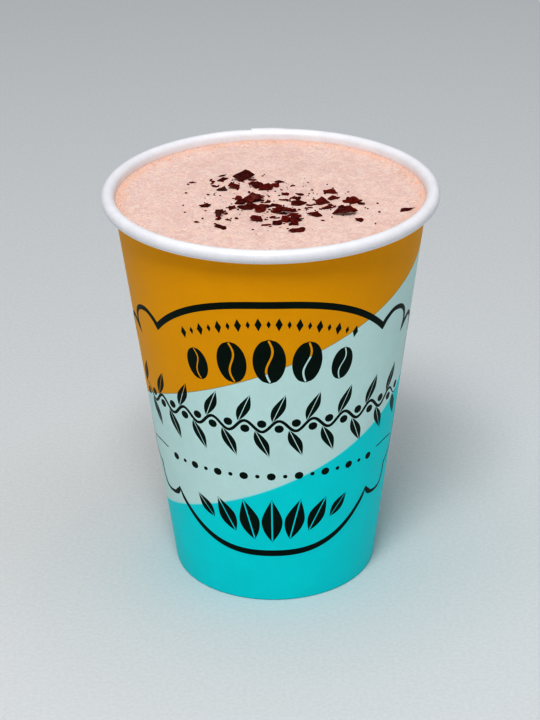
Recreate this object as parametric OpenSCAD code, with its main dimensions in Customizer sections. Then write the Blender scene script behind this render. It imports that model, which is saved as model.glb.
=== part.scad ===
// Takeaway paper cup, filled with hot chocolate.
// The cup is rolled from one tapered blank: its lower edge is folded in and up round the skirt of a
// recessed base disc, and its top edge is rolled outwards into a hollow rim. The drink stands close
// under the rim. The origin is on the table, at the centre of the foot, and the cup's axis is +Z.

/* [Cup] */
// Height from the table to the top of the rim
cup_h = 112; // [80:1:170]
// Outer diameter over the rolled rim
rim_d = 90; // [72:0.5:110]
// Outer diameter of the wall where it meets the table
foot_d = 56.4; // [45:0.2:68]
// Thickness of the wall's paperboard
wall_t = 0.4; // [0.3:0.05:0.6]

/* [Rolled rim] */
// Diameter of the rolled rim's own round section
curl_d = 3.6; // [2.8:0.1:5]
// Angle that the board turns through in the rim, from the wall to its free edge
curl_sweep = 310; // [250:5:310]

/* [Side seam] */
// Width of the strip where the blank's two edges lap over each other
seam_w = 7; // [4:0.5:12]
// Direction of the seam's middle, counted from +X towards +Y
seam_a = 92; // [0:1:359]

/* [Base] */
// Height of the base disc's underside above the table
recess_h = 8; // [5:0.5:14]
// Thickness of the base's paperboard
base_t = 0.35; // [0.25:0.05:0.5]
// Radius of the bend between the base disc and its skirt, at the middle of the board
bend_r = 0.8; // [0.4:0.1:2]
// Room between the top edge of the folded-up hem and the bend under the base disc
hem_clear = 0.8; // [0.4:0.1:2]
// How far the fold under the hem is pressed flat by standing on it
foot_press = 0.05; // [0.02:0.01:0.1]
// Thickness of the sealing film between two layers of board
seal_gap = 0.05; // [0.02:0.01:0.15]
// Room between the skirt's lower edge and the fold
skirt_clear = 0.5; // [0.45:0.05:1]

/* [Drink] */
// Distance from the top of the rim down to the drink
fill_drop = 3; // [2:0.5:60]
// Height that the froth creeps up the wall
creep_h = 0.25; // [0.1:0.05:0.35]
// Width of the ring in which the froth rises to the wall
creep_w = 1.6; // [0.5:0.1:4]
// Clearance between the drink and the board that holds it
fill_gap = 0.05; // [0.02:0.01:0.2]

/* [Hidden] */

// Sides of every turned shape when it is drawn as a mesh
$fn = 180;

// Steps in the arcs of the fold, the base's bend, the rolled rim and the froth's rise
fold_steps = 5;
bend_steps = 8;
curl_steps = 28;
creep_steps = 6;

// The rolled rim's middle, in the (radius, height) half-plane, and its radius at mid board
curl_c = [rim_d / 2 - curl_d / 2, cup_h - curl_d / 2];
curl_r = curl_d / 2 - wall_t / 2;

// Lean of the wall from upright: its outer face runs from the foot to the inside of the roll
foot_to_curl = curl_c - [foot_d / 2, 0];
lean = atan2(foot_to_curl[0], foot_to_curl[1]) - asin((curl_d / 2 - wall_t) / norm(foot_to_curl));
up_wall = [sin(lean), cos(lean)];
off_wall = [cos(lean), -sin(lean)];

// The fold under the foot wraps the skirt and a film on each side of it
fold_r = (wall_t + base_t) / 2 + seal_gap;
fold_out_r = fold_r + wall_t / 2;
fold_z = fold_out_r - foot_press;
fold_c = [foot_d / 2 + fold_z * tan(lean) - fold_out_r / cos(lean), fold_z];
flat_a = acos(1 - foot_press / fold_out_r);

// The base disc's middle height, and the middle of the bend into its skirt
disc_z = recess_h + base_t / 2;
bend_drop = fold_z - disc_z + bend_r;
bend_c = [fold_c[0] - (bend_r + bend_drop * sin(lean)) / cos(lean), disc_z - bend_r];

// Length of the hem, up inside the skirt from the middle of the fold
hem_h = (bend_c[1] - hem_clear - fold_z) / cos(lean);

// The drink's bottom, its level, and the height of its edge at the wall
fill_z = disc_z + base_t / 2 + fill_gap;
level_z = cup_h - fill_drop;
edge_z = level_z + creep_h;

// Points along an arc about c, from angle a0 to angle a1
function arc(c, r, a0, a1, steps) =
    [for (i = [0 : steps]) let (a = a0 + (a1 - a0) * i / steps) c + r * [cos(a), sin(a)]];

// A list of points in the opposite order
function backwards(points) = [for (i = [len(points) - 1 : -1 : 0]) points[i]];

// Radius of the wall's inner face at height z
function wall_in(z) = foot_d / 2 + z * tan(lean) - wall_t / cos(lean);

// One face of the wall's board, s away from its middle: up the hem, round the fold, up the wall
// and round the rolled rim
function wall_face(s) = concat(
    [fold_c - (fold_r + s) * off_wall + hem_h * up_wall],
    arc(fold_c, fold_r + s, 180 - lean, 270 - flat_a, fold_steps),
    arc(fold_c, fold_r + s, 270 + flat_a, 360 - lean, fold_steps),
    arc(curl_c, curl_r - s, 180 - lean, 180 - lean - curl_sweep, curl_steps)
);

// One face of the base's board, s away from its middle: out along the disc and down the skirt
function base_face(s) = concat(
    [[0, disc_z + s]],
    arc(bend_c, bend_r + s, 90, -lean, bend_steps),
    [fold_c + skirt_clear * up_wall + s * off_wall]
);

// The wall: one bent strip of board turned round the axis, and the lapped strip of its side seam
module cup_wall() {
    color("goldenrod") {
        rotate_extrude() polygon(concat(wall_face(wall_t / 2), backwards(wall_face(-wall_t / 2))));
        side_seam();
    }
}

// The outer lap of the side seam: one more thickness of board, which starts inside the wall's own
// and stops where the rim begins to roll. It is a narrow slice cut out of a cone.
module side_seam() {
    seam_low = 2 * fold_out_r;
    seam_top = curl_c[1] - curl_d / 2;
    foot_r = foot_d / 2;
    lap = wall_t / cos(lean);
    intersection() {
        rotate_extrude() polygon([
            [foot_r + seam_low * tan(lean) - lap / 2, seam_low],
            [foot_r + seam_low * tan(lean) + lap, seam_low],
            [foot_r + seam_top * tan(lean) + lap, seam_top],
            [foot_r + seam_top * tan(lean) - lap / 2, seam_top]
        ]);
        rotate([0, 0, seam_a]) translate([0, -seam_w / 2, 0]) cube([rim_d / 2, seam_w, cup_h]);
    }
}

// The base: a recessed disc whose skirt turns down between the wall and the hem
module cup_base() {
    color("white") rotate_extrude()
        polygon(concat(base_face(base_t / 2), backwards(base_face(-base_t / 2))));
}

// The drink: it fills the cup from the base disc to its level, and its froth rises at the wall
module cocoa() {
    froth = [for (i = [0 : creep_steps]) let (inward = creep_w * i / creep_steps)
        [wall_in(edge_z) - fill_gap - inward, level_z + creep_h * pow(1 - i / creep_steps, 2)]];
    color("rosybrown") rotate_extrude()
        polygon(concat([[0, fill_z], [wall_in(fill_z) - fill_gap, fill_z]], froth, [[0, level_z]]));
}

cup_wall();
cup_base();
cocoa();
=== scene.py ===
"""A takeaway paper cup of hot chocolate with chocolate shavings on its froth.

The sections follow the order in which the drink is put together: the printed board is rolled into a
cup, the base disc is sealed in, the ink lies on the board, the drink is poured, its bubbles gather at
the wall, and the shavings fall on top. All sizes are in metres and all angles in degrees. Azimuth is
counted from the front of the cup, which faces -Y, and grows towards +X.
"""
import math
import random

import bmesh
import bpy
import numpy as np
from mathutils import Matrix, Vector, noise


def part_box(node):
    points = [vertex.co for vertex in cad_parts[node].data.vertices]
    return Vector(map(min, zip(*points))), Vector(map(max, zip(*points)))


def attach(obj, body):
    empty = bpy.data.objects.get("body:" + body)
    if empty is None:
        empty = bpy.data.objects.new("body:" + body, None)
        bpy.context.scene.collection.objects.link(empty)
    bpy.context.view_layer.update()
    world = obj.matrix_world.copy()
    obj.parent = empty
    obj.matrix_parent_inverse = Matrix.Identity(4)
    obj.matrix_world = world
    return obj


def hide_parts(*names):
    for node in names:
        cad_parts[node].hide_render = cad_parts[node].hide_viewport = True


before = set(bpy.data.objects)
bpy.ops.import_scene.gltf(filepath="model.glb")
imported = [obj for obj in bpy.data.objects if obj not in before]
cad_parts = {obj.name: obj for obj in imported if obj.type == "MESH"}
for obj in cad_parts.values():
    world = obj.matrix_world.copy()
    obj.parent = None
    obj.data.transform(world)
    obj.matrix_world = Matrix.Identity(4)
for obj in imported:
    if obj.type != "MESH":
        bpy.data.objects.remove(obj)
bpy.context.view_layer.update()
MM = 0.001

# -----------------------------------------------------------------------------
# The cup's wall. One tapered blank of paperboard, printed on its outer side, is bent round until its
# edges lap over each other in a side seam. Its lower edge is folded in and up round the base's skirt,
# and its upper edge is rolled outwards, so the rim shows the blank's bare white inner side.
# -----------------------------------------------------------------------------
wall_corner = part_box("cup_wall")[1]
CUP_H = wall_corner.z
RIM_R = wall_corner.x
FOOT_R = 28.2 * MM
BOARD = 0.4 * MM
BASE_BOARD = 0.35 * MM
FILM = 0.05 * MM
CURL_R = 1.8 * MM
CURL_SWEEP = 310
FOOT_PRESS = 0.05 * MM
HEM_H = 6 * MM

# Steps in each half of the fold, up the straight wall and round the rim
FOLD_STEPS, WALL_STEPS, CURL_STEPS = 5, 13, 26

# The seam at the back: the middle and width of the lap, and how far the board takes to come back into line
SEAM_AZ = 182.5
LAP = 7 * MM
LAP_FADE = 5 * MM

curl_c = np.array([RIM_R - CURL_R, CUP_H - CURL_R])
reach = curl_c - [FOOT_R, 0]
LEAN = math.atan2(reach[0], reach[1]) - math.asin((CURL_R - BOARD) / np.linalg.norm(reach))
SLOPE = math.tan(LEAN)
up_wall = np.array([math.sin(LEAN), math.cos(LEAN)])
off_wall = np.array([math.cos(LEAN), -math.sin(LEAN)])
fold_r = (BOARD + BASE_BOARD) / 2 + FILM
fold_out = fold_r + BOARD / 2
fold_z = fold_out - FOOT_PRESS
fold_c = np.array([FOOT_R + fold_z * SLOPE - fold_out / math.cos(LEAN), fold_z])
flat = math.degrees(math.acos(1 - FOOT_PRESS / fold_out))
lean_deg = math.degrees(LEAN)


def wall_r(z, depth=0.0):
    """Radius of the wall's outer face at height z, or of a cone that lies depth inside it."""
    return FOOT_R + z * SLOPE - depth / math.cos(LEAN)


def arc(centre, radius, first, last, steps):
    """Points of an arc in the (radius, height) half-plane."""
    turn = np.radians(np.linspace(first, last, steps + 1))
    return centre + radius * np.stack([np.cos(turn), np.sin(turn)], axis=1)


def board_face(side):
    """One face of the board, side away from its middle: up the hem, round the fold, up the wall and round
    the rim. Each point carries the direction in which a second layer of board would lift it."""
    turn_r, curl_r = fold_r + side, CURL_R - BOARD / 2 - side
    hem = (fold_c - turn_r * off_wall + HEM_H * up_wall)[None]
    fold_in = arc(fold_c, turn_r, 180 - lean_deg, 270 - flat, FOLD_STEPS)
    fold_up = arc(fold_c, turn_r, 270 + flat, 360 - lean_deg, FOLD_STEPS)
    roll = arc(curl_c, curl_r, 180 - lean_deg, 180 - lean_deg - CURL_SWEEP, CURL_STEPS)
    share = np.linspace(0, 1, WALL_STEPS + 1)[1:-1, None]
    straight = fold_up[-1] + share * (roll[0] - fold_up[-1])
    points = np.concatenate([hem, fold_in, fold_up, straight, roll])
    lift = np.concatenate([-off_wall + 0 * hem, (fold_in - fold_c) / turn_r, (fold_up - fold_c) / turn_r,
                           off_wall + 0 * straight, (curl_c - roll) / curl_r])
    return points, lift


def lap_lift(distance, cut):
    """How far the lap lifts a face at a distance round from the seam's middle. The outer layer starts and
    the inner layer ends at a cut edge, where the face steps by one board."""
    fade = 0.5 + 0.5 * np.cos(np.pi * np.clip((np.abs(distance) - LAP / 2) / LAP_FADE, 0, 1))
    return BOARD / 2 * fade * np.where(distance > cut, 1, -1)


# Columns round the cup: even steps, with finer ones across the seam and a pair at each cut edge
COLUMN_STEP = 1.5
NEAR_SEAM = 12
CUT_HALF = 0.02
SMALLEST_STEP = 0.03
half_lap = math.degrees(LAP / 2 / RIM_R)
even = np.arange(0, 360, COLUMN_STEP)
near = SEAM_AZ + np.arange(-NEAR_SEAM, NEAR_SEAM, COLUMN_STEP / 2)
cuts = np.array([SEAM_AZ - half_lap, SEAM_AZ + half_lap])
columns = np.unique(np.round(np.concatenate([even, near, cuts - CUT_HALF, cuts + CUT_HALF]), 4))
columns = columns[np.append(np.diff(columns) > SMALLEST_STEP, True)]


def round_the_cup(azimuth, radius, z):
    """A point on the cup from its azimuth, radius and height."""
    a = np.radians(azimuth)
    return np.stack([radius * np.sin(a), -radius * np.cos(a), z + 0 * a], axis=-1)


printed, printed_lift = board_face(BOARD / 2)
bare, bare_lift = board_face(-BOARD / 2)
section = np.concatenate([printed, bare[::-1]])
section_lift = np.concatenate([printed_lift, bare_lift[::-1]])
n_printed, n_section = len(printed), len(section)
from_seam = np.radians(columns - SEAM_AZ) * RIM_R
outer_step = lap_lift(from_seam, -LAP / 2)
inner_step = lap_lift(from_seam, LAP / 2)
verts = []
for azimuth, out_step, in_step in zip(columns, outer_step, inner_step):
    steps = np.where(np.arange(n_section) < n_printed, out_step, in_step)
    moved = section + section_lift * steps[:, None]
    moved[:, 1] = np.maximum(moved[:, 1], 0)
    verts.append(round_the_cup(np.full(n_section, azimuth), moved[:, 0], moved[:, 1]))
verts = np.concatenate(verts)


def ring_mesh(name, points, rows, turns):
    """A closed mesh from points laid out as turns columns of rows points each, joined all the way round."""
    faces = []
    for c in range(turns):
        d = (c + 1) % turns
        for r in range(rows):
            s = (r + 1) % rows
            faces.append((c * rows + r, d * rows + r, d * rows + s, c * rows + s))
    mesh = bpy.data.meshes.new(name)
    mesh.from_pydata([tuple(p) for p in points], [], faces)
    mesh.update()
    return mesh


def new_piece(name, mesh, smooth_angle=None):
    """An object at the origin that holds the mesh, smooth apart from edges sharper than the angle."""
    if smooth_angle is not None:
        mesh.shade_smooth()
        mesh.set_sharp_from_angle(angle=math.radians(smooth_angle))
    piece = bpy.data.objects.new(name, mesh)
    bpy.context.collection.objects.link(piece)
    return piece


wall_mesh = ring_mesh("cup_wall_board", verts, n_section, len(columns))
cup_wall = new_piece("cup_wall_board", wall_mesh, 35)

# The unrolled blank as a UV map: the printed side fills most of it, and the bare side lies above
UV_MARGIN = 0.001
path = np.concatenate([[0], np.cumsum(np.linalg.norm(np.diff(section, axis=0), axis=1))])
path_end = path[-1] + np.linalg.norm(section[0] - section[-1])
around_curl = CURL_STEPS + 1
knots = [0, path[2 * FOLD_STEPS + 1], path[n_printed - around_curl], path[n_printed - 1], path[n_printed],
         path[n_printed + around_curl], path_end]
shares = [0, 0.04, 0.8, 0.83, 0.832, 0.94, 1]
v_of_row = np.interp(np.append(path, path_end), knots, shares)
uv = wall_mesh.uv_layers.new(name="OFBake")
turn_of = np.append(columns, columns[0] + 360)
for face in wall_mesh.polygons:
    c, r = divmod(face.index, n_section)
    for loop, (dc, dr) in zip(face.loop_indices, ((0, 0), (1, 0), (1, 1), (0, 1))):
        u_v = np.array(((turn_of[c + dc] - columns[0]) / 360, v_of_row[r + dr]))
        uv.data[loop].uv = u_v * (1 - 2 * UV_MARGIN) + UV_MARGIN


def plug(tree, socket, value):
    """Feeds an input from another node's socket, or sets a plain value on it. None leaves it as it is."""
    if isinstance(value, bpy.types.NodeSocket):
        tree.links.new(value, socket)
    elif value is not None:
        socket.default_value = value


def add(tree, kind, *inputs, **settings):
    """Adds a node, with values or sockets for its inputs in the node's own order."""
    node = tree.nodes.new(kind)
    for key, value in settings.items():
        setattr(node, key, value)
    for socket, value in zip(node.inputs, inputs):
        plug(tree, socket, value)
    return node


def new_material(name, **values):
    """A material with one Principled BSDF, whose plain values are set on its own sockets. It comes with its
    tree, that shader and the coordinates of the object."""
    material = bpy.data.materials.new(name)
    material.use_nodes = True
    tree = material.node_tree
    shader = tree.nodes["Principled BSDF"]
    for key, value in values.items():
        shader.inputs[key.replace("_", " ")].default_value = value
    return material, tree, shader, add(tree, "ShaderNodeTexCoord").outputs["Object"]


def finish_surface(tree, shader, colour, roughness, height, distance, strength):
    """Feeds the shader its colour, its roughness and a bump, whose full step is distance metres high."""
    bump = tree.nodes.new("ShaderNodeBump")
    for name, value in (("Strength", strength), ("Distance", distance), ("Height", height)):
        plug(tree, bump.inputs[name], value)
    for name, value in (("Base Color", colour), ("Roughness", roughness), ("Normal", bump.outputs[0])):
        plug(tree, shader.inputs[name], value)


def calc(tree, operation, *values):
    """One Math node, as its output socket. It serves shader trees and geometry trees alike."""
    return add(tree, "ShaderNodeMath", *values, operation=operation).outputs[0]


def ramp(tree, value, low, high, to_low=0.0, to_high=1.0, smooth=True):
    """Maps value from low..high to to_low..to_high, held at both ends."""
    node = add(tree, "ShaderNodeMapRange", value, low, high, to_low, to_high)
    node.interpolation_type = "SMOOTHSTEP" if smooth else "LINEAR"
    return node.outputs["Result"]


def blend(tree, factor, first, second, how="MIX"):
    """Mixes two colours."""
    node = tree.nodes.new("ShaderNodeMix")
    node.data_type, node.blend_type = "RGBA", how
    for name, value in (("Factor", factor), ("A", first), ("B", second)):
        plug(tree, node.inputs[name], value)
    return node.outputs["Result"]


def srgb(red, green, blue):
    """A colour given as it looks on screen, 0 to 255, as the linear colour that a shader takes."""
    def line(c):
        c = c / 255
        return c / 12.92 if c <= 0.04045 else ((c + 0.055) / 1.055) ** 2.4
    return (line(red), line(green), line(blue), 1.0)


def spots(tree, vector, scale, detail=2.0, roughness=0.5):
    """A noise texture's value on the given coordinates, with scale in cells to the metre."""
    return add(tree, "ShaderNodeTexNoise", vector, None, scale, detail, roughness).outputs["Fac"]


def new_group(name, tree_kind, inputs, outputs):
    """A node group with named inputs, given as name, kind and value, and outputs, as name and kind. It comes
    with its inputs by name and its output node."""
    group = bpy.data.node_groups.new(name, tree_kind)
    for socket_name, kind, value in inputs:
        socket = group.interface.new_socket(name=socket_name, in_out="INPUT", socket_type="NodeSocket" + kind)
        if value is not None:
            socket.default_value = value
    for socket_name, kind in outputs:
        group.interface.new_socket(name=socket_name, in_out="OUTPUT", socket_type="NodeSocket" + kind)
    given = {socket.name: socket for socket in group.nodes.new("NodeGroupInput").outputs}
    return group, given, group.nodes.new("NodeGroupOutput")


# Board fibre, shared by the wall, the base and the ink: fibres in the height, clouds in the tone, and slow
# hollows where the blank was bent
board_grain, given, grain_out = new_group(
    "board_grain", "ShaderNodeTree",
    (("Vector", "Vector", None), ("Fibre Scale", "Float", 2600.0), ("Cloud Scale", "Float", 130.0)),
    (("Tone", "Float"), ("Height", "Float")))
tree = board_grain
stretch = (1.0, 1.0, 0.45)
stretched = add(tree, "ShaderNodeVectorMath", given["Vector"], stretch, operation="MULTIPLY").outputs[0]
fibre = spots(tree, stretched, given["Fibre Scale"], 3.0, 0.6)
cloud = spots(tree, given["Vector"], given["Cloud Scale"], 3.0, 0.55)
hollows = spots(tree, given["Vector"], 32.0, 1.0)
tone = calc(tree, "ADD", calc(tree, "MULTIPLY", fibre, 0.45), calc(tree, "MULTIPLY", cloud, 0.55))
height = calc(tree, "ADD", calc(tree, "MULTIPLY", fibre, 0.06), hollows)
tree.links.new(tone, grain_out.inputs["Tone"])
tree.links.new(height, grain_out.inputs["Height"])


def add_grain(tree, vector, **values):
    """Places the board_grain group in a material, with its own values."""
    node = tree.nodes.new("ShaderNodeGroup")
    node.node_tree = board_grain
    tree.links.new(vector, node.inputs["Vector"])
    for key, value in values.items():
        node.inputs[key.replace("_", " ")].default_value = value
    return node.outputs["Tone"], node.outputs["Height"]


# The print: a warm field above, a pale one across the middle and a turquoise one below. Both borders climb
# from left to right. The inks lap in a thin dark line along the upper one, and leave a bright one along
# the lower, where they don't quite meet. Heights are in millimetres at the front, and change by azimuth.
WARM = srgb(243, 173, 0)
PALE = srgb(212, 243, 240)
TURQUOISE = srgb(0, 231, 236)
UPPER_BORDER = dict(height=75.5, climb=0.27, bend=0.0001)
LOWER_BORDER = dict(height=38.5, climb=0.25, bend=0.0003)
LAP_LINE = 0.32
BORDER_EDGE = 0.06

print_ink, tree, shader, place = new_material(
    "printed_board", Roughness=0.55, Coat_Weight=0.03, Coat_Roughness=0.4, Specular_IOR_Level=0.12)
split = add(tree, "ShaderNodeSeparateXYZ", place).outputs
turned = calc(tree, "ARCTAN2", split["X"], calc(tree, "MULTIPLY", split["Y"], -1.0))
print_end = SEAM_AZ - half_lap
azimuth = calc(tree, "WRAP", calc(tree, "MULTIPLY", turned, math.degrees(1)), print_end, print_end - 360)
z_mm = calc(tree, "MULTIPLY", split["Z"], 1000.0)
tone, height = add_grain(tree, place)


def above(border):
    """How far a point lies above a border of two colour fields, in millimetres."""
    rate = calc(tree, "MULTIPLY_ADD", azimuth, border["bend"], border["climb"])
    return calc(tree, "SUBTRACT", z_mm, calc(tree, "MULTIPLY_ADD", rate, azimuth, border["height"]))


over_upper, over_lower = above(UPPER_BORDER), above(LOWER_BORDER)
colour = blend(tree, ramp(tree, over_lower, -BORDER_EDGE, BORDER_EDGE), TURQUOISE, PALE)
colour = blend(tree, ramp(tree, over_upper, -BORDER_EDGE, BORDER_EDGE), colour, WARM)


def line_mask(distance, half_width):
    """1 within half_width of a border and 0 beyond it, with a soft edge."""
    return ramp(tree, calc(tree, "ABSOLUTE", distance), half_width * 0.6, half_width * 1.4, 1.0, 0.0)


lapped = calc(tree, "MULTIPLY", line_mask(over_upper, LAP_LINE / 2), 0.45)
colour = blend(tree, lapped, colour, srgb(120, 110, 50))
missed = calc(tree, "MULTIPLY", line_mask(over_lower, LAP_LINE), 0.6)
colour = blend(tree, missed, colour, srgb(190, 246, 246))
mottle = ramp(tree, tone, 0.35, 0.65, 0.965, 1.025, smooth=False)
mottle = add(tree, "ShaderNodeCombineColor", mottle, mottle, mottle).outputs[0]
colour = blend(tree, 1.0, colour, mottle, "MULTIPLY")
finish_surface(tree, shader, colour, ramp(tree, tone, 0.3, 0.7, 0.41, 0.52), height, 0.00006, 0.5)
wall_mesh.materials.append(print_ink)

# The bare side: white board, faintly clouded, under a thin clear film
coated, tree, shader, place = new_material(
    "coated_board", Roughness=0.42, Coat_Weight=0.15, Coat_Roughness=0.25, Specular_IOR_Level=0.45)
tone, height = add_grain(tree, place, Fibre_Scale=2000.0, Cloud_Scale=200.0)
white = blend(tree, ramp(tree, tone, 0.35, 0.65), srgb(233, 233, 238), srgb(240, 240, 244))


def from_axis(tree, place):
    """Distance of a point from the cup's axis, and its height."""
    split = add(tree, "ShaderNodeSeparateXYZ", place).outputs
    y_squared = calc(tree, "MULTIPLY", split["Y"], split["Y"])
    return calc(tree, "SQRT", calc(tree, "MULTIPLY_ADD", split["X"], split["X"], y_squared)), split["Z"]


# A thin film of froth clings to the wall's inside, and fades out a little way up it. Its peach tint there is
# partly that film and partly a painted reflection of the froth's warm light on the white board
cocoa_low, cocoa_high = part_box("cocoa")
axis_r, z = from_axis(tree, place)
film_and_reflection_noise = calc(tree, "MULTIPLY_ADD", spots(tree, place, 420.0, 2.0), 0.0008, -0.0004)
film_and_reflection = ramp(tree, calc(tree, "ADD", z, film_and_reflection_noise), cocoa_high.z - 0.2 * MM, cocoa_high.z + 0.9 * MM, 0.75, 0.0)
inside = ramp(tree, axis_r, RIM_R - 2.9 * MM, RIM_R - 2.2 * MM, 1.0, 0.0)
white = blend(tree, calc(tree, "MULTIPLY", film_and_reflection, inside), white, srgb(238, 200, 183))
finish_surface(tree, shader, white, ramp(tree, tone, 0.3, 0.7, 0.36, 0.5), height, 0.00005, 0.4)
wall_mesh.materials.append(coated)
for face in wall_mesh.polygons:
    face.material_index = int(face.index % n_section >= n_printed - 1)

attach(cup_wall, "root")
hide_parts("cup_wall")

# -----------------------------------------------------------------------------
# The base. A recessed disc of white board with a turned-down skirt, sealed between the wall and its
# hem. Its shape is the CAD's own, and it only takes a finish here.
# -----------------------------------------------------------------------------
base_board, tree, shader, place = new_material("base_board", Roughness=0.62, Specular_IOR_Level=0.35)
tone, height = add_grain(tree, place, Fibre_Scale=1500.0, Cloud_Scale=90.0)
white = blend(tree, ramp(tree, tone, 0.3, 0.7), srgb(222, 220, 214), srgb(240, 239, 235))
finish_surface(tree, shader, white, ramp(tree, tone, 0.3, 0.7, 0.56, 0.7), height, 0.00008, 0.6)
cup_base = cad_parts["cup_base"]
cup_base.data.materials.clear()
cup_base.data.materials.append(base_board)

# -----------------------------------------------------------------------------
# The ink. A dark green-black is printed over the colour fields: a label frame of swelling lines, and
# inside it a vine and rows of lozenges, beans, dots and leaves. Each is a film of ink a few hundredths of
# a millimetre thick on the board.
# -----------------------------------------------------------------------------
INK = 0.03 * MM
LABEL_AZ = -1.3

ink, tree, shader, place = new_material(
    "dark_ink", Roughness=0.55, Coat_Weight=0.03, Coat_Roughness=0.4, Specular_IOR_Level=0.12)
tone, height = add_grain(tree, place)
dark = blend(tree, ramp(tree, tone, 0.35, 0.68), srgb(6, 27, 18), srgb(14, 40, 29))
finish_surface(tree, shader, dark, ramp(tree, tone, 0.3, 0.7, 0.4, 0.52), height, 0.00006, 0.5)


def smooth_run(knots, steps):
    """A smooth curve through knots of azimuth, height and line width, with steps points to each gap."""
    knots = np.array(knots, float)
    ends = np.concatenate([[2 * knots[0] - knots[1]], knots, [2 * knots[-1] - knots[-2]]])
    share = (np.arange(steps) / steps)[:, None]
    runs = [0.5 * (2 * b + (c - a) * share + (2 * a - 5 * b + 4 * c - d) * share ** 2
                   + (3 * b - a - 3 * c + d) * share ** 3)
            for a, b, c, d in zip(ends, ends[1:], ends[2:], ends[3:])]
    return np.concatenate(runs + [knots[-1:]])


def stroke(path, closed):
    """The vertices and faces of one line of ink, whose corners are mitred and whose open ends are closed
    square.
    """
    azimuth, z, width = path[:, 0], path[:, 1] * MM, path[:, 2] * MM
    flat = np.stack([np.radians(azimuth) * wall_r(z), z], axis=1)
    step = np.roll(flat, -1, axis=0) - flat
    if not closed:
        step[-1] = step[-2]
    step /= np.linalg.norm(step, axis=1)[:, None]
    before = np.roll(step, 1, axis=0)
    if not closed:
        before[0] = step[0]
    across = np.stack([-step[:, 1] - before[:, 1], step[:, 0] + before[:, 0]], axis=1)
    across /= np.linalg.norm(across, axis=1)[:, None]
    square = np.stack([-step[:, 1], step[:, 0]], axis=1)
    reach = width / 2 / np.maximum((across * square).sum(axis=1), 0.4)
    rows = []
    for side, lift in ((-1, -INK), (-1, INK), (0, INK), (1, INK), (1, -INK), (0, -INK)):
        y = z + across[:, 1] * side * reach
        turn = azimuth + np.degrees(across[:, 0] * side * reach / wall_r(z))
        rows.append(round_the_cup(turn, wall_r(y) + lift, y))
    points = np.stack(rows, axis=1).reshape(-1, 3)
    count = len(path)
    faces = [(c * 6 + r, c * 6 + (r + 1) % 6, (c + 1) % count * 6 + (r + 1) % 6, (c + 1) % count * 6 + r)
             for c in range(count if closed else count - 1) for r in range(6)]
    if not closed:
        last = (count - 1) * 6
        faces += [(2, 1, 0, 5), (5, 4, 3, 2), (last + 5, last, last + 1, last + 2),
                  (last + 2, last + 3, last + 4, last + 5)]
    return points, faces


def mesh_of(name, parts):
    """One mesh from lists of vertices and faces, with every closed part's faces turned outwards."""
    mesh = bpy.data.meshes.new(name)
    points, faces = [], []
    for part_points, part_faces in parts:
        first = len(points)
        points.extend(tuple(p) for p in part_points)
        faces.extend(tuple(first + i for i in face) for face in part_faces)
    mesh.from_pydata(points, [], faces)
    shape = bmesh.new()
    shape.from_mesh(mesh)
    bmesh.ops.recalc_face_normals(shape, faces=shape.faces)
    shape.to_mesh(mesh)
    shape.free()
    return mesh


# The frame's right half, from the middle of its top down to the middle of its foot: azimuth from the
# label's middle, height and line width in millimetres. The top and the foot follow a power of the azimuth.
sweep = np.linspace(0, 50, 26)[:-1]
top_arc = np.stack([sweep, 95.5 - 13 * (sweep / 50) ** 2.5, 2.0 - 0.4 * (sweep / 50) ** 2], axis=1)
shoulder = smooth_run([(50, 82.5, 1.6), (52, 84, 1.5), (56, 85.5, 1.4), (60, 85.5, 1.4), (64, 84.5, 1.3),
                       (67, 82.5, 1.2), (68, 80, 1.1), (67, 77.5, 1.2)], 3)
flank = smooth_run([(67, 77.5, 1.2), (70, 79, 1.4), (75, 79.5, 1.3), (80, 76.5, 1.1), (84, 69, 0.8),
                    (85.5, 58, 0.6), (84, 46, 0.6), (79, 38, 0.6), (74, 35.5, 0.6), (70, 34.5, 0.7)], 4)
knot = smooth_run([(70, 34.5, 0.7), (69.5, 31, 0.7), (67, 28.5, 0.8), (62, 28, 0.9), (57, 28.5, 1.1),
                   (54.5, 29.5, 1.5), (52.5, 31, 0.6)], 3)
sweep = np.linspace(50, 0, 26)
foot_arc = np.stack([sweep, 16.5 + 12 * (sweep / 50) ** 3, 1.9 - 0.8 * (sweep / 50) ** 2], axis=1)
half = np.concatenate([top_arc, shoulder[:-1], flank[:-1], knot, foot_arc])
outline = np.concatenate([half, (half * [-1, 1, 1])[-2:0:-1]]) + [LABEL_AZ, 0, 0]
hairlines = [smooth_run([(LABEL_AZ + side * a, z, 0.3) for a, z in ((57.5, 43), (66, 43), (75, 42))], 6)
             for side in (-1, 1)]
frame_lines = [stroke(outline, True)] + [stroke(hairline, False) for hairline in hairlines]
ink_frame = new_piece("ink_frame", mesh_of("ink_frame", frame_lines))
ink_frame.data.materials.append(ink)


def slab_faces(rows, across):
    """Faces of a closed slab whose lower and then upper points lie in rows of across + 1."""
    wide, layer = across + 1, rows * (across + 1)
    faces = []
    for c in range(rows - 1):
        for r in range(across):
            a = c * wide + r
            faces.append((a, a + wide, a + wide + 1, a + 1))
            faces.append((a + layer, a + 1 + layer, a + wide + 1 + layer, a + wide + layer))
        for a, b in ((c * wide, c * wide + wide), (c * wide + wide + across, c * wide + across)):
            faces.append((a, a + layer, b + layer, b))
    for r in range(across):
        top = (rows - 1) * wide + r
        faces += [(r, r + 1, r + 1 + layer, r + layer), (top + 1, top, top + layer, top + 1 + layer)]
    return faces


def flat_shape(rows, left, right, across):
    """A shape one unit tall as a thin slab, from its left and right edges at each of the rows' heights."""
    share = np.linspace(0, 1, across + 1)
    points = []
    for side in (-1, 1):
        for y in np.linspace(-0.5, 0.5, rows):
            low, high = left(y), max(right(y), left(y) + 0.004)
            points += [(low + (high - low) * u, y, side) for u in share]
    return points, slab_faces(rows, across)


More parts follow.
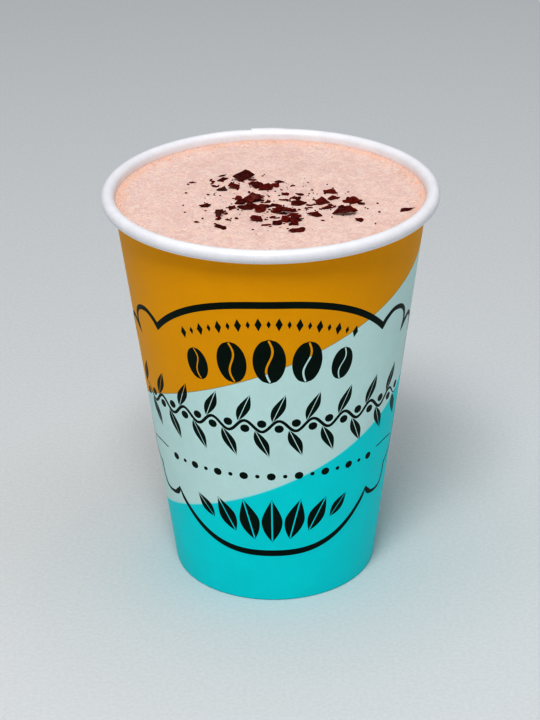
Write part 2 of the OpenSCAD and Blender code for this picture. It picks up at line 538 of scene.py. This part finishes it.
def oval(y, wide):
    """Half the width of an oval one unit tall, at a height from its middle."""
    return wide / 2 * math.sqrt(max(0.0, 1 - (2 * y) ** 2))


def split_pair(rows, half_width, gap_at, gap, across):
    """A shape cut in two by a gap that wanders as gap_at says."""
    def gap_edge(y, side):
        return min(max(gap_at(y) + side * gap / 2, -half_width(y)), half_width(y))
    left = flat_shape(rows, lambda y: -half_width(y), lambda y: gap_edge(y, -1), across)
    right = flat_shape(rows, lambda y: gap_edge(y, 1), half_width, across)
    return [left, right]


# A row of one printed shape: it is repeated along an arch, leant outwards like a fan, and laid round the wall
printed_row, given, row_out = new_group(
    "printed_row", "GeometryNodeTree",
    (("Shape", "Geometry", None), ("Count", "Int", 5), ("Centre", "Float", 0.0),
     ("Half Spread", "Float", 30.0), ("Middle Height", "Float", 0.05), ("End Height", "Float", 0.05),
     ("Middle Size", "Float", 0.01), ("End Size", "Float", 0.01), ("Every Other", "Float", 1.0),
     ("Fan", "Float", 0.0), ("Foot Radius", "Float", FOOT_R), ("Wall Slope", "Float", SLOPE),
     ("Film", "Float", INK), ("Material", "Material", None)),
    (("Row", "Geometry"),))
tree = printed_row
points = add(tree, "GeometryNodePoints", given["Count"]).outputs[0]
index = add(tree, "GeometryNodeInputIndex").outputs[0]
last_index = calc(tree, "SUBTRACT", given["Count"], 1.0)
along = calc(tree, "MULTIPLY_ADD", calc(tree, "DIVIDE", index, last_index), 2.0, -1.0)
bowed = calc(tree, "MULTIPLY", along, along)


def from_middle(name):
    """A value that changes from Middle to End with the square of the distance from the row's middle."""
    first, last = given["Middle " + name], given["End " + name]
    return calc(printed_row, "MULTIPLY_ADD", calc(printed_row, "SUBTRACT", last, first), bowed, first)


row_r = calc(tree, "MULTIPLY_ADD", given["Middle Height"], given["Wall Slope"], given["Foot Radius"])
turn = calc(tree, "RADIANS", calc(tree, "MULTIPLY_ADD", along, given["Half Spread"], given["Centre"]))
turn_x = calc(tree, "MULTIPLY", turn, row_r)
spot = add(tree, "ShaderNodeCombineXYZ", turn_x, from_middle("Height"), 0.0).outputs[0]
placed = add(tree, "GeometryNodeSetPosition", points, None, spot).outputs[0]
odd = calc(tree, "MODULO", index, 2.0)
share = calc(tree, "MULTIPLY_ADD", calc(tree, "SUBTRACT", given["Every Other"], 1.0), odd, 1.0)
size = calc(tree, "MULTIPLY", from_middle("Size"), share)
outwards = calc(tree, "MULTIPLY", along, -1.0)
lean_out = calc(tree, "MULTIPLY", calc(tree, "RADIANS", given["Fan"]), outwards)
spin = add(tree, "ShaderNodeCombineXYZ", 0.0, 0.0, lean_out).outputs[0]
spin = add(tree, "FunctionNodeEulerToRotation", spin).outputs[0]
scale = add(tree, "ShaderNodeCombineXYZ", size, size, 1.0).outputs[0]
many = add(tree, "GeometryNodeInstanceOnPoints", placed, None, given["Shape"], None, None, spin,
           scale).outputs[0]
whole = add(tree, "GeometryNodeRealizeInstances", many).outputs[0]
x, y, side = add(tree, "ShaderNodeSeparateXYZ", add(tree, "GeometryNodeInputPosition").outputs[0]).outputs
around = calc(tree, "DIVIDE", x, row_r)
face_r = calc(tree, "MULTIPLY_ADD", y, given["Wall Slope"], given["Foot Radius"])
out_r = calc(tree, "MULTIPLY_ADD", side, given["Film"], face_r)
wall_x = calc(tree, "MULTIPLY", out_r, calc(tree, "SINE", around))
wall_y = calc(tree, "MULTIPLY", calc(tree, "MULTIPLY", out_r, -1.0), calc(tree, "COSINE", around))
bent = add(tree, "ShaderNodeCombineXYZ", wall_x, wall_y, y).outputs[0]
wrapped = add(tree, "GeometryNodeSetPosition", whole, None, bent).outputs[0]
finished = add(tree, "GeometryNodeSetMaterial", wrapped, None, given["Material"]).outputs[0]
tree.links.new(finished, row_out.inputs["Row"])


def run_tree(piece, tree, **values):
    """Runs a geometry tree on a piece with the given inputs, and keeps the result as its plain mesh."""
    modifier = piece.modifiers.new(tree.name, "NODES")
    modifier.node_group = tree
    for item in tree.interface.items_tree:
        key = item.name.replace(" ", "_")
        if item.in_out == "INPUT" and key in values:
            modifier[item.identifier] = values[key]
    made = bpy.data.meshes.new_from_object(piece.evaluated_get(bpy.context.evaluated_depsgraph_get()))
    piece.modifiers.clear()
    piece.data = made
    made.name = piece.name


bean = split_pair(25, lambda y: oval(y, 0.64), lambda y: 0.065 * math.sin(2.2 * math.pi * y), 0.05, 5)
lozenge = [flat_shape(9, lambda y: -0.24 * (1 - abs(2 * y)), lambda y: 0.24 * (1 - abs(2 * y)), 2)]
dot = [flat_shape(13, lambda y: -oval(y, 1.0), lambda y: oval(y, 1.0), 3)]


def leaf_edge(y):
    """Half the width of a leaf one unit tall, pointed at both ends and fullest below its middle."""
    return 0.2 * (1 - abs(2 * y) ** 1.7) * (1 - 0.5 * y)


def leaning(shape, lean, upright=1):
    """The shape's slabs with their tops leaned over, or with their tips turned down where upright is -1."""
    return [([(x + lean * y, upright * y, side) for x, y, side in points], faces) for points, faces in shape]


leaf = split_pair(25, leaf_edge, lambda y: 0.0, 0.035, 3)
vine_turn = np.linspace(-72, 72, 145)
VINE_Z, VINE_SWAY, VINE_WAVE = 58.4, 1.7, 44 / 3
vine_width = 0.8 * np.minimum(1, (72.5 - np.abs(vine_turn)) / 12)
vine_path = np.stack([vine_turn + LABEL_AZ, VINE_Z + VINE_SWAY * np.sin(2 * math.pi * vine_turn / VINE_WAVE),
                      vine_width], axis=1)
ink_vine = new_piece("ink_vine", mesh_of("ink_vine", [stroke(vine_path, False)]))
ink_vine.data.materials.append(ink)
quarter = VINE_WAVE / 4
ink_pieces = [ink_frame, ink_vine]
for name, shape, count, aside, spread, middle_z, end_z, middle_size, end_size, every_other, fan in (
        ("ink_lozenges", lozenge, 19, 0, 35, 89.8, 84.2, 3.8, 3.4, 0.6, 12),
        ("ink_beans", bean, 5, 0, 30, 78.6, 75.6, 13.4, 9.5, 1.0, 9),
        ("ink_leaves_up", leaning(leaf, 0.42), 10, -quarter, 66, 64.0, 63.6, 8.4, 7.6, 1.0, 0),
        ("ink_leaves_down", leaning(leaf, 0.42, -1), 10, quarter, 66, 52.8, 53.2, 8.4, 7.6, 1.0, 0),
        ("ink_berries_low", dot, 10, -quarter, 66, 57.6, 57.6, 2.4, 2.2, 1.0, 0),
        ("ink_berries_high", dot, 10, quarter, 66, 59.2, 59.2, 2.4, 2.2, 1.0, 0),
        ("ink_dots", dot, 17, 0, 51, 42.2, 41.8, 2.3, 2.1, 0.5, 0),
        ("ink_fan", leaf, 7, 0, 34, 27.4, 29.8, 14.0, 8.0, 1.0, 36)):
    row = new_piece(name, mesh_of(name, shape))
    run_tree(row, printed_row, Count=count, Centre=LABEL_AZ + aside, Half_Spread=float(spread),
             Middle_Height=middle_z * MM, End_Height=end_z * MM, Middle_Size=middle_size * MM,
             End_Size=end_size * MM, Every_Other=every_other, Fan=float(fan), Foot_Radius=FOOT_R,
             Wall_Slope=SLOPE, Film=INK, Material=ink)
    ink_pieces.append(row)
for piece in ink_pieces:
    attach(piece, "root")

# -----------------------------------------------------------------------------
# The drink. Milk froth with fine bubbles stands close under the rim. It is flat in the middle, rises a
# little where it clings to the wall, and reaches just into the board, so that no gap shows.
# -----------------------------------------------------------------------------
CREEP_H = 0.25 * MM
LEVEL = cocoa_high.z - CREEP_H
CREEP_W = 1.6 * MM
INTO_WALL = 0.12 * MM

# The froth is warmer in a ring at the wall: where it starts, and where it is full
RING_START, RING_FULL = 37.2 * MM, 41.8 * MM
FROTH_RINGS, FROTH_TURNS, SIDE_ROWS = 118, 360, 6

inner_r = wall_r(cocoa_high.z, BOARD) + INTO_WALL
radii = inner_r * np.linspace(0, 1, FROTH_RINGS + 1)[1:] ** 0.8
turns = np.linspace(0, 360, FROTH_TURNS, endpoint=False)


def froth_height(x, y):
    """Height of the froth above its level: slow swells, fine foam, and a rise at the wall."""
    r = math.hypot(x, y)
    away = max(0.0, (wall_r(LEVEL, BOARD) - r) / CREEP_W)
    rise = CREEP_H * max(0.0, 1 - away) ** 2
    swell = noise.noise(Vector((x * 70, y * 70, 0.3))) * 0.00012
    foam = noise.fractal(Vector((x * 650, y * 650, 1.7)), 1.0, 2.0, 3) * 0.00005
    return rise + swell + foam


top = [(0.0, 0.0, LEVEL + froth_height(0, 0))]
for r in radii:
    for a in np.radians(turns):
        x, y = r * math.sin(a), -r * math.cos(a)
        top.append((x, y, LEVEL + froth_height(x, y)))
for i in range(1, SIDE_ROWS + 1):
    z = LEVEL + (cocoa_low.z - LEVEL) * i / SIDE_ROWS
    for a in np.radians(turns):
        r = wall_r(z, BOARD) + INTO_WALL
        top.append((r * math.sin(a), -r * math.cos(a), z))
top.append((0.0, 0.0, cocoa_low.z))
faces = [(0, 1 + t, 1 + (t + 1) % FROTH_TURNS) for t in range(FROTH_TURNS)]
for ring in range(FROTH_RINGS + SIDE_ROWS - 1):
    low, high = 1 + ring * FROTH_TURNS, 1 + (ring + 1) * FROTH_TURNS
    for t in range(FROTH_TURNS):
        u = (t + 1) % FROTH_TURNS
        faces.append((low + t, high + t, high + u, low + u))
first = 1 + (FROTH_RINGS + SIDE_ROWS - 1) * FROTH_TURNS
faces += [(first + (t + 1) % FROTH_TURNS, first + t, len(top) - 1) for t in range(FROTH_TURNS)]
froth_mesh = mesh_of("froth", [(top, faces)])
froth = new_piece("froth", froth_mesh, 40)

froth_look, tree, shader, place = new_material(
    "froth", Roughness=0.5, Specular_IOR_Level=0.25, Subsurface_Weight=0.2, Subsurface_Scale=0.002)
shader.inputs["Subsurface Radius"].default_value = (1.0, 0.45, 0.3)
axis_r, _ = from_axis(tree, place)
clouds = spots(tree, place, 110.0, 4.0, 0.55)
curds = spots(tree, place, 420.0, 3.0, 0.6)
fine = spots(tree, place, 1300.0, 3.0, 0.75)
speck = add(tree, "ShaderNodeTexVoronoi", place, None, 1300.0, feature="F1").outputs["Distance"]
pits = ramp(tree, speck, 0.0, 0.3, 1.0, 0.0)
colour = blend(tree, ramp(tree, clouds, 0.38, 0.62), srgb(230, 201, 192), srgb(237, 210, 202))
colour = blend(tree, calc(tree, "MULTIPLY", ramp(tree, curds, 0.4, 0.6), 0.6), colour, srgb(246, 223, 209))
colour = blend(tree, calc(tree, "MULTIPLY", ramp(tree, fine, 0.42, 0.66), 0.6), colour, srgb(218, 175, 165))
ring_noise = calc(tree, "MULTIPLY_ADD", spots(tree, place, 240.0, 4.0, 0.65), 0.009, -0.0045)
at_wall = ramp(tree, calc(tree, "ADD", axis_r, ring_noise), RING_START, RING_FULL)
blots = ramp(tree, curds, 0.35, 0.6, 0.45, 0.95)
colour = blend(tree, calc(tree, "MULTIPLY", at_wall, blots), colour, srgb(235, 191, 170))
flecks = calc(tree, "MULTIPLY", ramp(tree, spots(tree, place, 2100.0, 1.0), 0.64, 0.72), 0.5)
colour = blend(tree, flecks, colour, srgb(208, 142, 112))
colour = blend(tree, calc(tree, "MULTIPLY", pits, 0.2), colour, srgb(198, 148, 134))
bumps = calc(tree, "SUBTRACT", calc(tree, "ADD", fine, curds), calc(tree, "MULTIPLY", pits, 0.6))
finish_surface(tree, shader, colour, ramp(tree, fine, 0.3, 0.7, 0.42, 0.6), bumps, 0.00014, 0.7)
froth_mesh.materials.append(froth_look)
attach(froth, "root")
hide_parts("cocoa")

# -----------------------------------------------------------------------------
# Bubbles. Small ones stand in the froth where it meets the wall, as low domes of the same milk film.
# They are strewn over the froth's surface, which holds them.
# -----------------------------------------------------------------------------

# Grains strewn over a surface: they lie thick inside one distance from a centre and thin out to another
strewn, given, strewn_out = new_group(
    "strewn_grains", "GeometryNodeTree",
    (("Surface", "Geometry", None), ("Grain", "Object", None), ("Density", "Float", 1000.0),
     ("Centre", "Vector", None), ("Thick", "Float", 0.0), ("Thin", "Float", 0.02),
     ("Smallest", "Float", 0.0001), ("Largest", "Float", 0.0004), ("Tumble", "Float", 0.0),
     ("Seed", "Int", 0), ("Material", "Material", None)),
    (("Grains", "Geometry"),))
tree = strewn
here = add(tree, "GeometryNodeInputPosition").outputs[0]
away = add(tree, "ShaderNodeVectorMath", here, given["Centre"], operation="DISTANCE").outputs["Value"]
up = add(tree, "ShaderNodeSeparateXYZ", add(tree, "GeometryNodeInputNormal").outputs[0]).outputs["Z"]
density = ramp(tree, away, given["Thick"], given["Thin"], 1.0, 0.0, smooth=False)
scatter = tree.nodes.new("GeometryNodeDistributePointsOnFaces")
for name, value in (("Mesh", given["Surface"]), ("Selection", calc(tree, "GREATER_THAN", up, 0.7)),
                    ("Density", calc(tree, "MULTIPLY", density, given["Density"])), ("Seed", given["Seed"])):
    plug(tree, scatter.inputs[name], value)


def chance(low, high, seed_step, kind="FLOAT"):
    """A random value for each grain."""
    node = strewn.nodes.new("FunctionNodeRandomValue")
    node.data_type = kind
    first = 0 if kind == "FLOAT_VECTOR" else 2
    plug(strewn, node.inputs[first], low)
    plug(strewn, node.inputs[first + 1], high)
    plug(strewn, node.inputs["Seed"], calc(strewn, "ADD", given["Seed"], float(seed_step)))
    return node.outputs[0 if kind == "FLOAT_VECTOR" else 1]


lot = calc(tree, "POWER", chance(0.0, 1.0, 1), 2.5)
size_range = calc(tree, "SUBTRACT", given["Largest"], given["Smallest"])
size = calc(tree, "MULTIPLY_ADD", size_range, lot, given["Smallest"])
tumble = chance((-1.0, -1.0, 0.0), (1.0, 1.0, 0.0), 2, "FLOAT_VECTOR")
tumble = add(tree, "ShaderNodeVectorMath", tumble, None, None, given["Tumble"], operation="SCALE").outputs[0]
turned = add(tree, "ShaderNodeCombineXYZ", 0.0, 0.0, chance(0.0, 2 * math.pi, 3)).outputs[0]
spin = add(tree, "ShaderNodeVectorMath", tumble, turned).outputs[0]
spin = add(tree, "FunctionNodeEulerToRotation", spin).outputs[0]
grain = add(tree, "GeometryNodeObjectInfo", given["Grain"]).outputs["Geometry"]
many = add(tree, "GeometryNodeInstanceOnPoints", scatter.outputs["Points"], None, grain, None, None, spin,
           size).outputs[0]
whole = add(tree, "GeometryNodeRealizeInstances", many).outputs[0]
finished = add(tree, "GeometryNodeSetMaterial", whole, None, given["Material"]).outputs[0]
tree.links.new(finished, strewn_out.inputs["Grains"])


def strew(name, grain_mesh, **values):
    """A piece of grains strewn over the froth."""
    grain = new_piece(name + "_grain", grain_mesh)
    piece = new_piece(name, froth_mesh.copy())
    run_tree(piece, strewn, Grain=grain, **values)
    bpy.data.objects.remove(grain)
    piece.data.shade_smooth()
    return piece


def round_grain(name, squash, sides, jitter, rng):
    """A closed ball of few sides, one unit across and squashed, its corners moved by up to the jitter."""
    shape = bmesh.new()
    bmesh.ops.create_uvsphere(shape, u_segments=sides, v_segments=sides // 2 + 1, radius=0.5)
    for vert in shape.verts:
        vert.co *= 1 + rng.uniform(-jitter, jitter)
        vert.co.z *= squash
    mesh = bpy.data.meshes.new(name)
    shape.to_mesh(mesh)
    shape.free()
    return mesh


bubble_film, tree, shader, place = new_material(
    "bubble_film", Roughness=0.16, Specular_IOR_Level=0.45, Coat_Weight=0.3, Coat_Roughness=0.08,
    Subsurface_Weight=0.2, Subsurface_Scale=0.001)
clouded = ramp(tree, spots(tree, place, 700.0), 0.4, 0.6)
film_tone = blend(tree, clouded, srgb(226, 184, 164), srgb(240, 208, 192))
finish_surface(tree, shader, film_tone, None, spots(tree, place, 2500.0), 0.00002, 0.3)
bubbles = strew("froth_bubbles", round_grain("bubble", 0.55, 8, 0.0, random.Random(1)), Density=900000.0,
                Centre=(0.0, 0.0, LEVEL), Thick=0.0416, Thin=0.035, Smallest=0.00015, Largest=0.0008, Seed=5,
                Material=bubble_film)
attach(bubbles, "root")

# -----------------------------------------------------------------------------
# Chocolate shavings. Dark chocolate scraped off a block falls as angular flakes, ridged curls, slivers
# and crumbs. They lie on the froth and on each other, and the largest stand tilted.
# -----------------------------------------------------------------------------
chocolate, tree, shader, place = new_material("dark_chocolate", Roughness=0.3, Specular_IOR_Level=0.1)
shade = add(tree, "ShaderNodeAttribute", attribute_name="shade").outputs["Fac"]
mottle = spots(tree, place, 900.0, 3.0, 0.6)
combed = add(tree, "ShaderNodeVectorMath", place, (1.0, 3.5, 1.0), operation="MULTIPLY").outputs[0]
scrape_and_highlight = spots(tree, combed, 1200.0, 3.0, 0.65)
colour = blend(tree, ramp(tree, shade, 0.0, 0.75, smooth=False), srgb(58, 3, 1), srgb(112, 28, 18))
colour = blend(tree, ramp(tree, shade, 0.85, 1.0), colour, srgb(74, 46, 30))
colour = blend(tree, calc(tree, "MULTIPLY", ramp(tree, mottle, 0.35, 0.7), 0.5), colour, srgb(48, 4, 2))
# Lighter streaks along the scrapes are painted highlights of light caught on the knife's marks; the same
# scrapes also give real grooves in the bump
colour = blend(tree, calc(tree, "MULTIPLY", ramp(tree, scrape_and_highlight, 0.54, 0.66), 0.5), colour, srgb(152, 62, 42))
uneven = calc(tree, "ADD", scrape_and_highlight, mottle)
finish_surface(tree, shader, colour, ramp(tree, mottle, 0.3, 0.7, 0.26, 0.46), uneven, 0.00006, 0.7)

# The rings of a flake's body: each one's share of the outline, and its share of the full thickness
FLAKE_RINGS = ((0.4, 1.0), (0.75, 0.92), (0.93, 0.7), (1.0, 0.4))
# Sizes in millimetres: the length from which a flake takes all its rings, how far a flake sinks into the
# froth, and the distance between the knife's ridges
LARGE, SINK, RIDGE_STEP = 2, 0.12, 0.8


def broken_outline(rng, long, wide, steps):
    """A flake's outline: four to six broken corners, with steps short uneven breaks from each to the next."""
    count = rng.randint(4, 6)
    corners = []
    for i in range(count):
        angle = 2 * math.pi * (i + rng.uniform(-0.3, 0.3)) / count
        reach = rng.uniform(0.62, 1.18)
        corners.append(np.array((long / 2 * reach * math.cos(angle), wide / 2 * reach * math.sin(angle))))
    outline = []
    for i, corner in enumerate(corners):
        edge = corners[(i + 1) % count] - corner
        for step in range(steps):
            uneven = rng.uniform(-0.07, 0.07) if step else 0.0
            outline.append(corner + edge * step / steps + uneven * np.array((edge[1], -edge[0])))
    return np.array(outline)


def shaving(seed, size, place, turn, tilt, thick=0.42, roll=0.0, ridge=0.0):
    """One flake, long by wide: thin at its broken edges, rolled along its length by an angle, ridged on its
    upper side, tilted about its length, turned, and set down on the froth. Sizes are in millimetres."""
    rng = random.Random(seed)
    large = size[0] > LARGE
    outline = broken_outline(rng, size[0], size[1], 3 if large else 2)
    rings = FLAKE_RINGS if large else FLAKE_RINGS[1::2]
    flat, full = [np.zeros((1, 2))], [np.ones(1)]
    for share, depth in rings:
        flat.append(outline * share)
        full.append(np.full(len(outline), depth))
    flat, full = np.concatenate(flat), np.concatenate(full)
    x, y = flat[:, 0], flat[:, 1]
    cup = rng.choice((-0.5, 0.5)) * (y / size[1]) ** 2 * size[1] * 0.35
    body = cup + [0.9 * thick * noise.noise(Vector((a * 0.8, b * 0.8, seed * 3.1))) for a, b in flat]
    furrow = ridge * np.abs(np.sin(math.pi * (x + 0.35 * y) / RIDGE_STEP))
    layers = []
    for z in (body - full * thick / 2, body + full * (thick / 2 + furrow)):
        if roll:
            radius = size[0] / math.radians(roll)
            rolled = ((radius - z) * np.sin(x / radius), y, radius - (radius - z) * np.cos(x / radius))
            layers.append(np.stack(rolled, axis=-1))
        else:
            layers.append(np.stack([x, y, z], axis=-1))
    pose = (Matrix.Rotation(math.radians(turn), 3, "Z")
            @ Matrix.Rotation(math.radians(rng.uniform(-7, 7)), 3, "Y")
            @ Matrix.Rotation(math.radians(tilt), 3, "X"))
    points = np.concatenate(layers) @ np.array(pose).T * MM + [place[0] * MM, place[1] * MM, 0]
    ground = [LEVEL + froth_height(x, y) for x, y in points[:, :2]]
    points[:, 2] -= np.min(points[:, 2] - ground) + SINK * MM
    around, layer = len(outline), len(flat)
    faces = []
    for i in range(around):
        j = (i + 1) % around
        faces += [(0, 1 + j, 1 + i), (layer, layer + 1 + i, layer + 1 + j)]
        for ring in range(len(rings) - 1):
            a, b = 1 + ring * around, 1 + (ring + 1) * around
            faces.append((a + i, a + j, b + j, b + i))
            faces.append((layer + a + j, layer + a + i, layer + b + i, layer + b + j))
        edge = 1 + (len(rings) - 1) * around
        faces.append((edge + i, edge + j, layer + edge + j, layer + edge + i))
    return points, faces


def chocolate_piece(name, flakes, shades):
    """One piece from many flakes, each with its own shade of chocolate."""
    mesh = mesh_of(name, flakes)
    piece = new_piece(name, mesh, 35)
    tint = mesh.attributes.new("shade", "FLOAT", "POINT")
    tint.data.foreach_set("value", np.repeat(shades, [len(points) for points, _ in flakes]))
    mesh.materials.append(chocolate)
    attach(piece, "root")


# The large flakes, listed one by one: seed, size, place, turn, tilt and shade
plates, plate_shades = [], []
for seed, size, place, turn, tilt, shade in (
        (1, (6.4, 6.2), (-7.5, 12.5), 5, 30, 0.1), (2, (4.0, 3.0), (-13, 4.5), 0, 6, 1.0),
        (3, (4.2, 3.6), (-9.5, 6), 15, 18, 0.5), (4, (4.6, 3.4), (-3.5, 7), 0, 16, 0.2),
        (5, (4.8, 3.2), (-1, 5), 15, 20, 0.45), (6, (4.4, 3.0), (-5, -7.5), 0, 15, 0.3),
        (7, (3.2, 2.8), (-13.5, -14), -10, 45, 0.2), (8, (3.8, 2.0), (-17, -7), 30, 30, 0.2),
        (9, (4.8, 2.0), (-13, -21.5), -30, 6, 0.1), (10, (4.6, 3.4), (-4, -16.5), 0, 18, 0.4),
        (11, (4.8, 3.6), (7, -6), -8, 15, 0.25), (12, (4.8, 2.8), (16, 2), -12, 16, 0.7),
        (13, (4.0, 3.2), (13.5, -5.5), 10, 18, 0.45), (14, (3.8, 2.6), (16.5, -2.5), 10, 12, 0.5),
        (15, (4.2, 2.2), (11.5, -14), 5, 15, 0.3), (16, (2.6, 2.4), (23, -17.5), 5, 12, 0.3),
        (17, (4.8, 2.0), (7, -24), 15, 10, 0.35)):
    plates.append(shaving(seed, size, place, turn, tilt))
    plate_shades.append(shade)
chocolate_piece("shaving_plates", plates, plate_shades)

# The curls, which rolled up and took ridges from the knife: as the plates, with the angle of their roll
curls, curl_shades = [], []
for seed, size, place, turn, tilt, roll, shade in (
        (31, (6.8, 5.2), (-5.5, -3.5), -6, 35, -60, 0.5), (32, (7.0, 4.6), (22, -5), -24, 15, 40, 0.8),
        (33, (7.4, 2.6), (20, -13), 5, 15, -60, 0.4), (34, (7.8, 2.4), (4, -12), -6, 15, -45, 0.55),
        (35, (3.8, 2.8), (4, -17), -40, 15, 60, 0.8), (36, (4.0, 3.8), (6, -19), 30, 25, 140, 0.6),
        (37, (4.2, 2.8), (-3, -10), 35, 25, 70, 0.6)):
    curls.append(shaving(seed, size, place, turn, tilt, 0.38, roll, 0.3))
    curl_shades.append(shade)
chocolate_piece("shaving_curls", curls, curl_shades)

# The small flakes and slivers fall about the large ones, at random within each handful
chips, chip_shades = [], []
draw = random.Random(12)
for middle, spread, count, largest in (
        ((-15, 10), (5, 4), 14, 3.4), ((-3, 7), (7, 4), 16, 3.4), ((-5, -6), (6, 6), 34, 3.6),
        ((-11, -13), (7, 6), 12, 3.0), ((4, -16), (7, 5), 26, 3.6), ((7, -4), (7, 6), 20, 3.4),
        ((16, -7), (8, 6), 22, 3.4), ((27, -11), (5, 4), 4, 2.0), ((0, -4), (26, 16), 24, 1.1)):
    for _ in range(count):
        long = 0.6 + (largest - 0.6) * draw.random() ** 2.2
        wide = max(0.45, long * draw.uniform(0.25, 0.8))
        spot = [draw.gauss(m, w * 0.55) for m, w in zip(middle, spread)]
        turn, tilt = draw.gauss(0, 28), draw.uniform(2, 22)
        chips.append(shaving(100 + len(chips), (long, wide), spot, turn, tilt, 0.32))
        chip_shades.append(draw.uniform(0.0, 0.7))
# One sliver lies by itself near the wall
chips.append(shaving(99, (4.8, 1.1), (35.5, -11.5), 16, 20, 0.34))
chip_shades.append(0.1)
chocolate_piece("shaving_chips", chips, chip_shades)

# Crumbs: the dust and splinters that fall with them
crumbs = strew("shaving_crumbs", round_grain("crumb", 0.6, 5, 0.35, random.Random(9)), Density=420000.0,
               Centre=(0.002, -0.005, LEVEL), Thick=0.006, Thin=0.022, Smallest=0.0001, Largest=0.0008,
               Tumble=0.6, Seed=11, Material=chocolate)
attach(crumbs, "root")

# -----------------------------------------------------------------------------
# The table, the lights and the camera. The table is one pale card. A large soft lamp hangs overhead, a
# smaller one in front throws the shadows, and a weak one at each side fills them.
# -----------------------------------------------------------------------------
scene = bpy.context.scene
scene.view_settings.view_transform = "Standard"
scene.view_settings.look = "High Contrast"
FLOOR_HALF = 1.6
floor_mesh = bpy.data.meshes.new("floor")
corners = [(FLOOR_HALF * x, FLOOR_HALF * y, 0) for x, y in ((-1, -1), (1, -1), (1, 1), (-1, 1))]
floor_mesh.from_pydata(corners, [], [(0, 1, 2, 3)])
floor = new_piece("floor", floor_mesh)
floor_look, tree, shader, place = new_material("floor", Roughness=0.75, Specular_IOR_Level=0.15)
clouded = ramp(tree, spots(tree, place, 900.0, 3.0, 0.6), 0.3, 0.7)
card = blend(tree, clouded, srgb(212, 215, 217), srgb(218, 221, 223))
tree.links.new(card, shader.inputs["Base Color"])
floor_mesh.materials.append(floor_look)

# The room's light is weak, and what lies past the table is seen brighter than it shines
SKY = (0.96, 0.98, 1.0, 1.0)
ROOM_LIGHT, BACKDROP_LIGHT = 0.21, 0.5
world = bpy.data.worlds.new("studio")
scene.world = world
world.use_nodes = True
tree = world.node_tree
room = tree.nodes["Background"]
room.inputs["Color"].default_value = SKY
room.inputs["Strength"].default_value = ROOM_LIGHT
backdrop = add(tree, "ShaderNodeBackground", SKY, BACKDROP_LIGHT)
seen = add(tree, "ShaderNodeLightPath").outputs["Is Camera Ray"]
sky = add(tree, "ShaderNodeMixShader", seen, room.outputs[0], backdrop.outputs[0])
tree.links.new(sky.outputs[0], tree.nodes["World Output"].inputs["Surface"])


def soft_light(name, place, size, power):
    """A square studio light that faces the middle of the cup."""
    lamp = bpy.data.lights.new(name, "AREA")
    lamp.shape, lamp.size, lamp.energy = "SQUARE", size, power
    light = bpy.data.objects.new(name, lamp)
    light.location = place
    light.rotation_euler = (Vector((0, 0, CUP_H / 2)) - Vector(place)).to_track_quat("-Z", "Y").to_euler()
    bpy.context.collection.objects.link(light)


soft_light("overhead", (0.05, -0.05, 1.35), 1.2, 4.3)
soft_light("key", (-0.12, -0.64, 1.13), 0.36, 5.9)
soft_light("left", (-1.1, -0.25, 0.7), 0.6, 0.35)
soft_light("right", (1.1, -0.25, 0.7), 0.6, 0.35)

# The camera stands in front of the cup and above it. Its distance is counted from the cup's middle
DISTANCE, RISE, LENS = 0.578, 26.87, 104.3
PITCH, YAW, ROLL = 26.49, -0.08, -0.79
camera_data = bpy.data.cameras.new("camera")
camera_data.lens, camera_data.sensor_width, camera_data.clip_start = LENS, 36.0, 0.01
camera = bpy.data.objects.new("camera", camera_data)
rise = math.radians(RISE)
camera.location = (0, -DISTANCE * math.cos(rise), CUP_H / 2 + DISTANCE * math.sin(rise))
camera.rotation_euler = (Matrix.Rotation(math.radians(-YAW), 3, "Z")
                         @ Matrix.Rotation(math.radians(90 - PITCH), 3, "X")
                         @ Matrix.Rotation(math.radians(ROLL), 3, "Z")).to_euler()
bpy.context.collection.objects.link(camera)
scene.camera = camera
